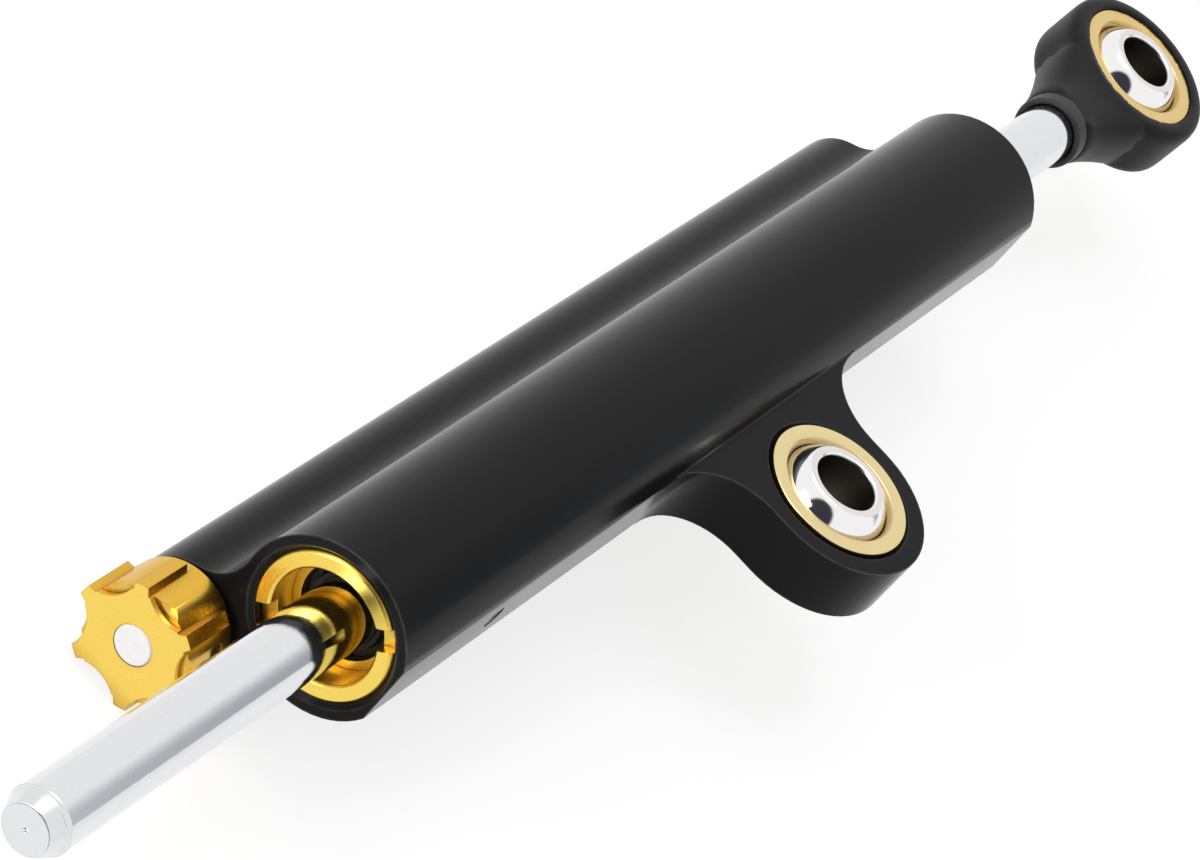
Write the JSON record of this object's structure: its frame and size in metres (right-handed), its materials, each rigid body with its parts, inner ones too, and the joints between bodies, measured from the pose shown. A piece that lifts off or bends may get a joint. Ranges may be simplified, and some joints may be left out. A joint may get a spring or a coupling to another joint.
{
  "type": "motorcycle steering damper",
  "caption": "Through-rod hydraulic steering damper: black twin-tube body with a lug bearing, chrome rod with a spherical rod-end eye, and a gold fluted adjuster knob.",
  "frame": {"origin": "centre of the lug's spherical bearing", "axes": "+X along the rod towards the rod-end eye, +Z along the lug's bolt axis, the rod on the +Y side of the lug"},
  "size_m": [0.2693, 0.0549, 0.0314],
  "materials": {
    "black_anodised": "satin black anodised",
    "gold_anodised": "bright gold anodised",
    "rubber": "black elastomer",
    "bronze": "turned, fine satin",
    "hard_chrome": "ground and polished",
    "steel": "plain",
    "black_steel": "black oxide",
    "bare_aluminium": "matt, fine turned",
    "guide_band": "filled guide band"
  },
  "bodies": {
    "damper": {"damper_body": "black_anodised", "front_lock_ring": "gold_anodised", "front_seal_head": "gold_anodised", "front_wiper": "rubber", "front_rod_seal": "rubber", "front_head_oring": "rubber", "rear_lock_ring": "gold_anodised", "rear_seal_head": "gold_anodised", "rear_wiper": "rubber", "rear_rod_seal": "rubber", "rear_head_oring": "rubber", "lug_race": "bronze", "bleed_screw": "black_steel", "adjuster_bush": "black_anodised", "bush_oring": "rubber", "spindle_oring": "rubber", "valve_seat": "bronze", "reservoir_spring": "steel", "reservoir_plug": "black_anodised", "plug_oring": "rubber", "plug_clip": "steel"},
    "band": {"piston_band": "guide_band"},
    "rod": {"piston_rod": "hard_chrome", "piston": "bare_aluminium", "piston_clips": "steel", "bump_stop": "rubber", "rod_end_eye": "black_anodised", "eye_race": "bronze"},
    "lug_ball": {"lug_ball": "hard_chrome"},
    "eye_ball": {"eye_ball": "hard_chrome"},
    "knob": {"adjuster_knob": "gold_anodised", "knob_cap": "bare_aluminium", "adjuster_spindle": "steel", "knob_grub_screw": "black_steel", "detent_ball": "steel", "detent_spring": "steel"},
    "needle": {"valve_needle": "steel"},
    "floating": {"floating_piston": "bare_aluminium", "floating_seal": "rubber"}
  },
  "joints": [
    {"name": "rod_slide", "type": "slide", "parent": "damper", "child": "band", "axis": [1, 0, 0], "range_m": [-0.0256, 0.048]},
    {"name": "rod_turn", "type": "hinge", "parent": "band", "child": "rod", "pos_m": [0, 0.0222, 0], "axis": [1, 0, 0], "continuous": true},
    {"name": "lug_swivel", "type": "hinge", "parent": "damper", "child": "lug_ball", "pos_m": [0, 0, 0], "axis": [0, 0, 1], "continuous": true},
    {"name": "eye_swivel", "type": "hinge", "parent": "rod", "child": "eye_ball", "pos_m": [0.1217, 0.0222, 0], "axis": [0, -0.1184, 0.993], "continuous": true},
    {"name": "knob_turn", "type": "hinge", "parent": "damper", "child": "knob", "pos_m": [-0.0807, 0.0347, -0.0132], "axis": [1, 0, 0], "range_deg": [-270, 270]},
    {"name": "needle_slide", "type": "slide", "parent": "damper", "child": "needle", "axis": [1, 0, 0], "range_m": [-0.0008, 0.0008]},
    {"name": "float_slide", "type": "slide", "parent": "damper", "child": "floating", "axis": [1, 0, 0], "range_m": [-0.003, 0.002], "stiffness_N_per_m": 400, "deforming": ["reservoir_spring"]}
  ],
  "couplings": [
    {"joint": "needle_slide", "follows": "knob_turn", "m_per_rad": 0.00015915}
  ]
}
